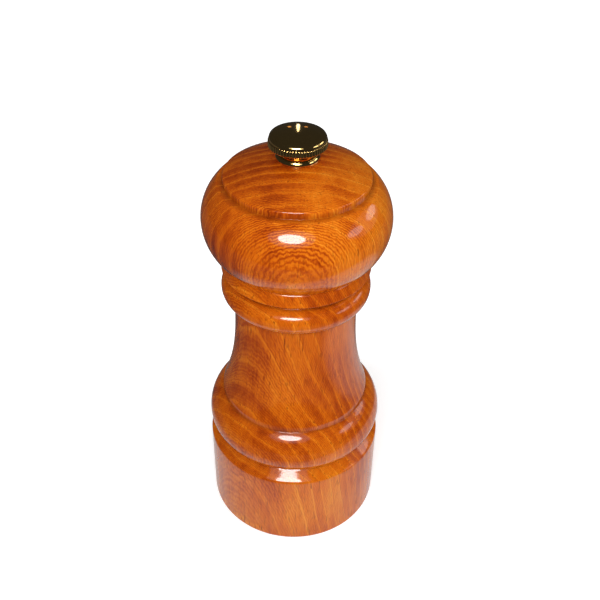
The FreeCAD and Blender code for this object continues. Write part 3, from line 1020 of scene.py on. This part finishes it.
@dataclass
class AdjustingKnob:
    """The brass knob: beaded neck, knurled band, rounded rim and domed top over a blind hole."""

    foot_z: float = 133.15
    neck_radius: float = 4.8
    neck_height: float = 1.9
    neck_bead: float = 1.6
    radius: float = 8.35
    under_rise: float = 1.7
    under_radius: float = 7.9
    knurl_height: float = 2.1
    knurl_depth: float = 0.3
    knurl_bevel: float = 0.22
    knurl_count: int = 60
    rim_inset: float = 0.25
    rim_height: float = 0.3
    rim_round: float = 1.3
    rim_angle: float = 70.0
    total_height: float = 8.6
    hole_radius: float = 2.55
    hole_top_z: float = 139.65
    top_angle: float = 89.7
    pole_radius: float = 0.12
    tooth_columns: int = 8
    sanding: Sanding = Sanding(softness=0.05, step=0.35, angle=5.0)

    @property
    def knurl_z(self) -> float:
        """Height of the knurl's lower edge."""
        return self.foot_z + self.neck_height + self.under_rise

    def outline(self) -> Outline:
        """Draw the half section, from the top of the hole down, out, up and over the dome.

        Returns:
            The pen that drew it.
        """
        rim_z = self.knurl_z + self.knurl_height
        rim_radius = self.radius - self.rim_inset
        top_z = self.foot_z + self.total_height
        bead_z = self.foot_z + self.neck_height - self.neck_bead
        pen = Outline(self.pole_radius, self.hole_top_z)
        pen.line(self.hole_radius, self.hole_top_z)
        pen.line(self.hole_radius, self.foot_z)
        pen.line(self.neck_radius + self.neck_bead, self.foot_z)
        pen.line(self.neck_radius + self.neck_bead, bead_z)
        pen.arc(self.neck_radius, bead_z, 90.0)
        pen.line(self.under_radius, self.knurl_z)
        pen.line(self.radius, self.knurl_z + self.knurl_bevel)
        pen.line(self.radius, rim_z - self.knurl_bevel)
        pen.line(rim_radius, rim_z)
        pen.line(rim_radius, rim_z + self.rim_height)
        pen.arc(rim_radius - self.rim_round, rim_z + self.rim_height, self.rim_angle)
        crown = top_z - pen.pen[1]
        dome_round = (pen.pen[0] ** 2 + crown**2) / (2.0 * crown)
        pen.arc(0.0, top_z - dome_round, self.top_angle)
        return pen

    def build(self, brass: Finish) -> None:
        """Turn the knob, cut its knurl and dress it.

        Between the two edges of the band each ring's radius loses the knurl's depth in narrow valleys: one
        less the size of a sine of half the tooth count times the angle.

        Args:
            brass: the knob's finish.
        """
        rings, crease = self.outline().sanded(self.sanding, closed=False)
        columns = self.tooth_columns * self.knurl_count
        grid = turned(rings, columns)
        radius, height = rings[:, :1], rings[:, 1]
        from_edge = np.minimum(height - self.knurl_z, self.knurl_z + self.knurl_height - height)
        band = np.clip(from_edge / self.knurl_bevel, 0.0, 1.0) * (radius[:, 0] > self.under_radius)
        valley = 1.0 - np.abs(np.sin(0.5 * self.knurl_count * round_of(columns)))
        cut = band[:, None] * valley * self.knurl_depth
        grid[..., :2] *= (1.0 - cut / radius)[..., None]
        piece = skin("knurled_knob", grid, False, crease)
        hand_over(piece, Body.KNOB, "adjusting_knob", new_material("polished_brass", brass))


@dataclass
class ThreadedShaft:
    """The square drive shaft with a thread at the top and a grooved journal at the foot."""

    half_width: float = 3.0
    corner_cut: float = 0.12
    foot_z: float = 3.5
    square_z: float = 11.5
    square_top_z: float = 126.05
    top_z: float = 138.45
    round_radius: float = 2.5
    pitch: float = 0.8
    thread_depth: float = 0.45
    groove_low: float = 9.65
    groove_high: float = 10.45
    groove_depth: float = 0.5
    tip_cut: float = 0.4
    tip_length: float = 0.5
    run_out: float = 0.6
    edge: float = 0.001
    columns: int = 96
    thread_rows: int = 241
    sharp_angle: float = 32.0

    def build(self, steel: Finish) -> None:
        """Sweep the section up the axis and dress it.

        The square's radius is its half width over the larger of cosine and sine, held in at the corners. The
        thread's radius falls by a triangle wave of height over pitch less turns. It starts from nothing above
        the square and its top end is chamfered.

        Args:
            steel: the shaft's finish.
        """
        angle = round_of(self.columns)
        square = self.half_width / np.maximum(np.abs(np.cos(angle)), np.abs(np.sin(angle)))
        square = np.minimum(square, self.half_width * math.sqrt(2.0) - self.corner_cut)
        groove = self.round_radius - self.groove_depth
        journal = np.array([
            (self.foot_z, self.round_radius - self.tip_cut),
            (self.foot_z + self.tip_cut, self.round_radius),
            (self.groove_low, self.round_radius),
            (self.groove_low + self.edge, groove),
            (self.groove_high - self.edge, groove),
            (self.groove_high, self.round_radius),
            (self.square_z, self.round_radius),
        ])
        turns = np.linspace(self.square_top_z + self.edge, self.top_z, self.thread_rows)
        phase = turns[:, None] / self.pitch - angle / (2.0 * math.pi)
        fall = np.abs(2.0 * (phase - np.floor(phase)) - 1.0)
        start = np.clip((turns - self.square_top_z) / self.run_out - 1.0, 0.0, 1.0)
        taper = np.clip((turns - self.top_z) / self.tip_length + 1.0, 0.0, 1.0) * self.tip_cut
        thread = self.round_radius - fall * start[:, None] * self.thread_depth
        thread = np.minimum(thread, (self.round_radius - taper)[:, None])
        round_foot = np.repeat(journal[:, 1:], self.columns, 1)
        radii = np.vstack([round_foot, square, square, thread])
        heights = np.concatenate([journal[:, 0], [self.square_z + self.edge, self.square_top_z], turns])
        heights = np.repeat(heights[:, None], self.columns, 1)
        grid = np.stack([radii * np.cos(angle), radii * np.sin(angle), heights], -1)
        piece = skin("threaded_shaft", grid, False)
        piece.data.set_sharp_from_angle(angle=math.radians(self.sharp_angle))
        hand_over(piece, Body.SPINDLE, "drive_shaft", new_material("drawn_steel", steel))


@dataclass
class CoilSpring:
    """The spring between its washers, with flat end turns."""

    low_z: float = 27.45
    high_z: float = 44.45
    coil_radius: float = 5.59
    wire_radius: float = 0.55
    turns: int = 7
    end_pitch: float = 1.16
    flat_turns: float = 0.75
    easing_turns: float = 0.5
    turn_steps: int = 64
    section_points: int = 20

    def build(self, steel: Finish) -> None:
        """Carry a round section along a helix and dress it.

        The helix rises by the wire's own width in the first and the last turn, and evenly faster between; the
        rise is the running sum of that pitch. The section stands across the wire's way.

        Args:
            steel: the spring's finish.
        """
        angle = np.linspace(0.0, 2.0 * math.pi * self.turns, self.turn_steps * self.turns + 1)
        turn = angle / (2.0 * math.pi)
        from_end = np.minimum(turn, self.turns - turn)
        inner = np.clip((from_end - self.flat_turns) / self.easing_turns, 0.0, 1.0)
        middle = inner * inner * (3.0 - 2.0 * inner)
        rise = self.high_z - self.low_z
        fast = (rise / self.turns - self.end_pitch) / middle[:-1].mean()
        steps = (self.end_pitch + fast * middle[:-1]) * np.diff(turn)
        height = self.low_z + np.concatenate([[0.0], np.cumsum(steps)]) * rise / steps.sum()
        outwards = np.stack([np.cos(angle), np.sin(angle), np.zeros_like(angle)], 1)
        path = self.coil_radius * outwards
        path[:, 2] = height
        way = np.gradient(path, axis=0)
        way /= np.linalg.norm(way, axis=1)[:, None]
        across = np.cross(way, outwards)
        section = round_of(self.section_points)[None, :, None]
        spokes = np.cos(section) * outwards[:, None] + np.sin(section) * across[:, None]
        grid = path[:, None] + self.wire_radius * spokes
        piece = skin("coil_spring", grid, False)
        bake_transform(piece)
        hand_over(piece, None, "spring", new_material("spring_wire", steel))


@dataclass
class GrindingSet:
    """The steel pieces that keep their CAD shape and get a finish."""

    nodes: dict[str, bpy.types.Object]

    def dress(self, finishes: dict[Slot, Finish], pieces: dict[Slot, tuple[str, ...]]) -> None:
        """Put each finish on its nodes.

        Args:
            finishes: the finish of each slot.
            pieces: the nodes of each slot.
        """
        for slot, names in pieces.items():
            material = new_material("dressed_" + slot.value, finishes[slot])
            for name in names:
                mesh = self.nodes[name].data
                mesh.materials.clear()
                mesh.materials.append(material)
                LOG.info("%s keeps its shape in %s", name, slot.value)


@dataclass(frozen=True)
class Lamp:
    """A soft oval lamp that faces the mill.

    Attributes:
        name: the lamp's name.
        bearing: degrees from the front towards the right.
        rise: degrees above the aim.
        distance: metres from the aim.
        size: width and height in metres.
        power: watts.
        colour: colour of the light.
    """

    name: str
    bearing: float
    rise: float
    distance: float
    size: Pair
    power: float
    colour: Colour = WHITE

    def hang(self, aim: Triple) -> None:
        """Hang the lamp, unseen by the camera.

        Args:
            aim: the place it faces, in metres.
        """
        turn, lift = math.radians(self.bearing), math.radians(self.rise)
        way = Vector((math.sin(turn) * math.cos(lift), -math.cos(turn) * math.cos(lift), math.sin(lift)))
        light = bpy.data.lights.new(self.name, "AREA")
        light.shape = "ELLIPSE"
        light.size, light.size_y = self.size
        light.energy = self.power
        light.color = self.colour
        lamp = bpy.data.objects.new(self.name, light)
        lamp.location = Vector(aim) + way * self.distance
        lamp.rotation_mode = "QUATERNION"
        lamp.rotation_quaternion = way.to_track_quat("Z", "Y")
        lamp.visible_camera = False
        bpy.context.scene.collection.objects.link(lamp)


@dataclass
class Studio:
    """The white table, the lamps, the dark room and the camera."""

    aim: Triple = (0.0, 0.0, 0.085)
    camera_place: Triple = (0.0, -0.2055, 0.24267)
    tilt: float = 37.885
    yaw: float = 0.369
    roll: float = 0.998
    lens: float = 49.507
    sensor: float = 36.0
    table_radius: float = 0.55
    table_place: Triple = (0.0, 0.36, -0.00002)
    bright_reach: Pair = (0.09, 0.055)
    bright_shift: float = 0.045
    bright_stretch: float = 0.6
    opening: float = 0.0275
    table_columns: int = 96
    table_white: tuple[Colour, Colour] = ((0.80, 0.80, 0.80), (0.82, 0.82, 0.82))
    table_dark: Colour = (0.12, 0.12, 0.12)
    table_roughness: float = 0.9
    paper_waves: Triple = (0.4, 0.4, 0.4)
    glow_far: float = 0.74
    glow_drop: float = 0.30
    glow_gloss: float = 0.05
    room: float = 0.03
    sky: float = 0.54
    horizon: float = 0.22
    right_wall: float = 0.70
    right_reach: Pair = (0.2, 1.0)
    near_clip: float = 0.01

    def table(self) -> None:
        """Lay the table: a flat disc, white to the eye, clear from below, and in gloss dark but for a painted
        pool of light near the mill.

        Near is an oval about a place right of the mill. The table is also clear under the mill, so that a
        lamp below shows the underside.
        """
        edge = turned(np.array([[self.table_radius, 0.0]]), self.table_columns)[0] + self.table_place
        mesh = bpy.data.meshes.new("table")
        mesh.from_pydata(edge.tolist(), [], [list(range(len(edge)))])
        table = bpy.data.objects.new("table", mesh)
        bpy.context.scene.collection.objects.link(table)
        material = bpy.data.materials.new("white_table")
        material.use_nodes = True
        bench = Bench(material.node_tree)
        paper = bench.noise(bench.place(), self.paper_waves, 3.0)
        across, along, _ = bench.parts(bench.place(scale=1.0))
        radius = across.slant(along)
        across = (across - self.bright_shift) * self.bright_stretch
        # painted pool of light seen only in gloss: the table is white and glows faintly in this oval right of
        # the mill
        near = across.slant(along).fade(*self.bright_reach)
        gloss = bench.seen_by(Ray.GLOSSY, Ray.TRANSMISSION)
        white = bench.mix(paper + 0.5, *self.table_white)
        glow = bench.seen_by(Ray.CAMERA) * (self.glow_far - near * self.glow_drop)
        glow = glow + gloss * near * self.glow_gloss
        inputs = {
            "Base Color": bench.mix(gloss * (1.0 - near), white, self.table_dark),
            "Roughness": self.table_roughness,
            "Specular IOR Level": 0.0,
            "Emission Color": bench.mix(glow, BLACK, WHITE),
            "Emission Strength": 1.0,
        }
        top = bench.node("ShaderNodeBsdfPrincipled", {}, inputs)
        below = bench.node("ShaderNodeNewGeometry", output="Backfacing")
        below = below.math("MAXIMUM", radius.math("LESS_THAN", self.opening))
        clear = bench.node("ShaderNodeBsdfTransparent")
        shader = bench.node("ShaderNodeMixShader", {}, {0: below, 1: top, 2: clear})
        bench.end("ShaderNodeOutputMaterial", shader)
        table.data.materials.append(material)

    def walls(self) -> None:
        """Light the room: white to the eye, dark in gloss, and a soft fill for the rest.

        The fill rises from the horizon to the sky, and the wall at the right is brighter.
        """
        world = bpy.data.worlds.new("room")
        world.use_nodes = True
        bench = Bench(world.node_tree)
        across, _, up = bench.parts(bench.node("ShaderNodeTexCoord", output="Generated"))
        fill = bench.mix(up.fade(0.0, 1.0), (self.horizon,) * 3, (self.sky,) * 3)
        fill = bench.mix(across.fade(*self.right_reach), fill, (self.right_wall,) * 3)
        room = bench.mix(bench.seen_by(Ray.GLOSSY), fill, (self.room,) * 3)
        colour = bench.mix(bench.seen_by(Ray.CAMERA), room, WHITE)
        bench.end("ShaderNodeOutputWorld", bench.node("ShaderNodeBackground", {}, {"Color": colour}))
        bpy.context.scene.world = world

    def camera(self) -> None:
        """Stand the camera at the photograph's place, turned by its tilt, yaw and roll."""
        tilt, yaw, roll = (math.radians(angle) for angle in (self.tilt, self.yaw, self.roll))
        ahead = Vector((math.sin(yaw) * math.cos(tilt), math.cos(yaw) * math.cos(tilt), -math.sin(tilt)))
        right = ahead.cross(Vector((0.0, 0.0, 1.0))).normalized()
        up = right.cross(ahead)
        level = (right * math.cos(roll) + up * math.sin(roll), up * math.cos(roll) - right * math.sin(roll))
        lens = bpy.data.cameras.new("camera")
        lens.lens = self.lens
        lens.sensor_width = self.sensor
        lens.clip_start = self.near_clip
        camera = bpy.data.objects.new("camera", lens)
        turn = Matrix((level[0], level[1], -ahead)).transposed().to_4x4()
        camera.matrix_world = Matrix.Translation(self.camera_place) @ turn
        bpy.context.scene.collection.objects.link(camera)
        bpy.context.scene.camera = camera

    def build(self, lamps: tuple[Lamp, ...]) -> None:
        """Set the table, the lamps, the room, the camera and the plain view.

        Args:
            lamps: the lamps to hang.
        """
        self.table()
        for lamp in lamps:
            lamp.hang(self.aim)
        self.walls()
        self.camera()
        bpy.context.scene.view_settings.view_transform = "Standard"


HEAD_WOOD = LacqueredWood(
    bearing=-90.0, heart=400.0, ring=3.6, lean=(0.0, 0.02), shift=(3.0, 11.0, 40.0), phase=3.97,
    flare=8.0, flare_z=122.0, flare_drop=22.0, band=0.46, band_share=0.24, dark=0.25, warp=2.6, tone=0.37,
    layer_share=0.38, pale_side=-10.0, pale_share=0.27, pale_lean=0.0, pale_z=0.0,
)
BODY_WOOD = LacqueredWood(
    bearing=-132.0, heart=120.0, ring=3.1, lean=(-0.16, 0.0), shift=(31.0, -17.0, 5.0), phase=0.0,
    flare=0.0, flare_z=0.0, flare_drop=1.0, band=0.46, band_share=0.13, dark=0.15, warp=4.2, tone=0.50,
    layer_share=0.20, pale_side=0.0, pale_share=0.15, pale_lean=1.0, pale_z=24.0,
)
FINISHES: dict[Slot, Finish] = {
    Slot.SHAFT: Steel((0.60, 0.60, 0.60), (0.42, 0.42, 0.43), Marks.DRAWN, 0.26, 0.006),
    Slot.BURR: Steel((0.36, 0.36, 0.37), (0.20, 0.19, 0.19), Marks.CAST, 0.46, 0.03),
    Slot.PRESSED: Steel((0.66, 0.66, 0.65), (0.48, 0.47, 0.46), Marks.ROLLED, 0.28, 0.006),
    Slot.SPRING: Steel((0.50, 0.50, 0.51), (0.34, 0.33, 0.33), Marks.DRAWN, 0.24, 0.004),
    Slot.SCREW: Steel((0.70, 0.68, 0.63), (0.50, 0.46, 0.40), Marks.PLATED, 0.26, 0.004),
}
KEPT_NODES: dict[Slot, tuple[str, ...]] = {
    Slot.BURR: ("rotor_burr", "stator_burr"),
    Slot.PRESSED: (
        "rotor_washer", "lower_spring_washer", "upper_spring_washer",
        "stator_bridge", "retaining_bar", "drive_plate",
    ),
    Slot.SPRING: ("shaft_clip",),
    Slot.SCREW: ("bridge_rivets", "retaining_bar_screws", "drive_plate_screws"),
}
LAMPS: tuple[Lamp, ...] = (
    Lamp("camera_lamp", bearing=-6.0, rise=35.0, distance=0.29, size=(0.138, 0.082), power=0.60),
    Lamp("camera_glow", bearing=-6.0, rise=35.0, distance=0.30, size=(0.26, 0.17), power=0.12),
    Lamp("window_near", bearing=72.0, rise=18.0, distance=0.7, size=(0.26, 0.15), power=0.27),
    Lamp("window_far", bearing=104.0, rise=20.0, distance=0.7, size=(0.26, 0.15), power=0.26),
    Lamp("window_edge", bearing=88.0, rise=18.0, distance=0.72, size=(0.75, 0.36), power=0.27),
    Lamp("back_strip", bearing=180.0, rise=24.0, distance=0.8, size=(0.03, 0.45), power=0.10),
    Lamp("back_glint_left", -174.0, 20.0, 0.8, size=(0.03, 0.08), power=0.006, colour=(1.0, 0.55, 0.2)),
    Lamp("under_lamp", bearing=0.0, rise=-90.0, distance=0.25, size=(0.12, 0.12), power=0.09),
    Lamp("back_glint_right", 174.5, 20.0, 0.8, size=(0.03, 0.06), power=0.004, colour=(1.0, 0.5, 0.2)),
)


def main() -> None:
    """Build the mill around its frame and set the scene."""
    logging.basicConfig(level=logging.INFO, format="%(name)s: %(message)s")
    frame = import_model()
    TurnedBody().build(BODY_WOOD)
    TurnedHead().build(HEAD_WOOD)
    AdjustingKnob().build(PolishedBrass())
    ThreadedShaft().build(FINISHES[Slot.SHAFT])
    CoilSpring().build(FINISHES[Slot.SPRING])
    GrindingSet(frame["nodes"]).dress(FINISHES, KEPT_NODES)
    Studio().build(LAMPS)


if __name__ == "__main__":
    main()
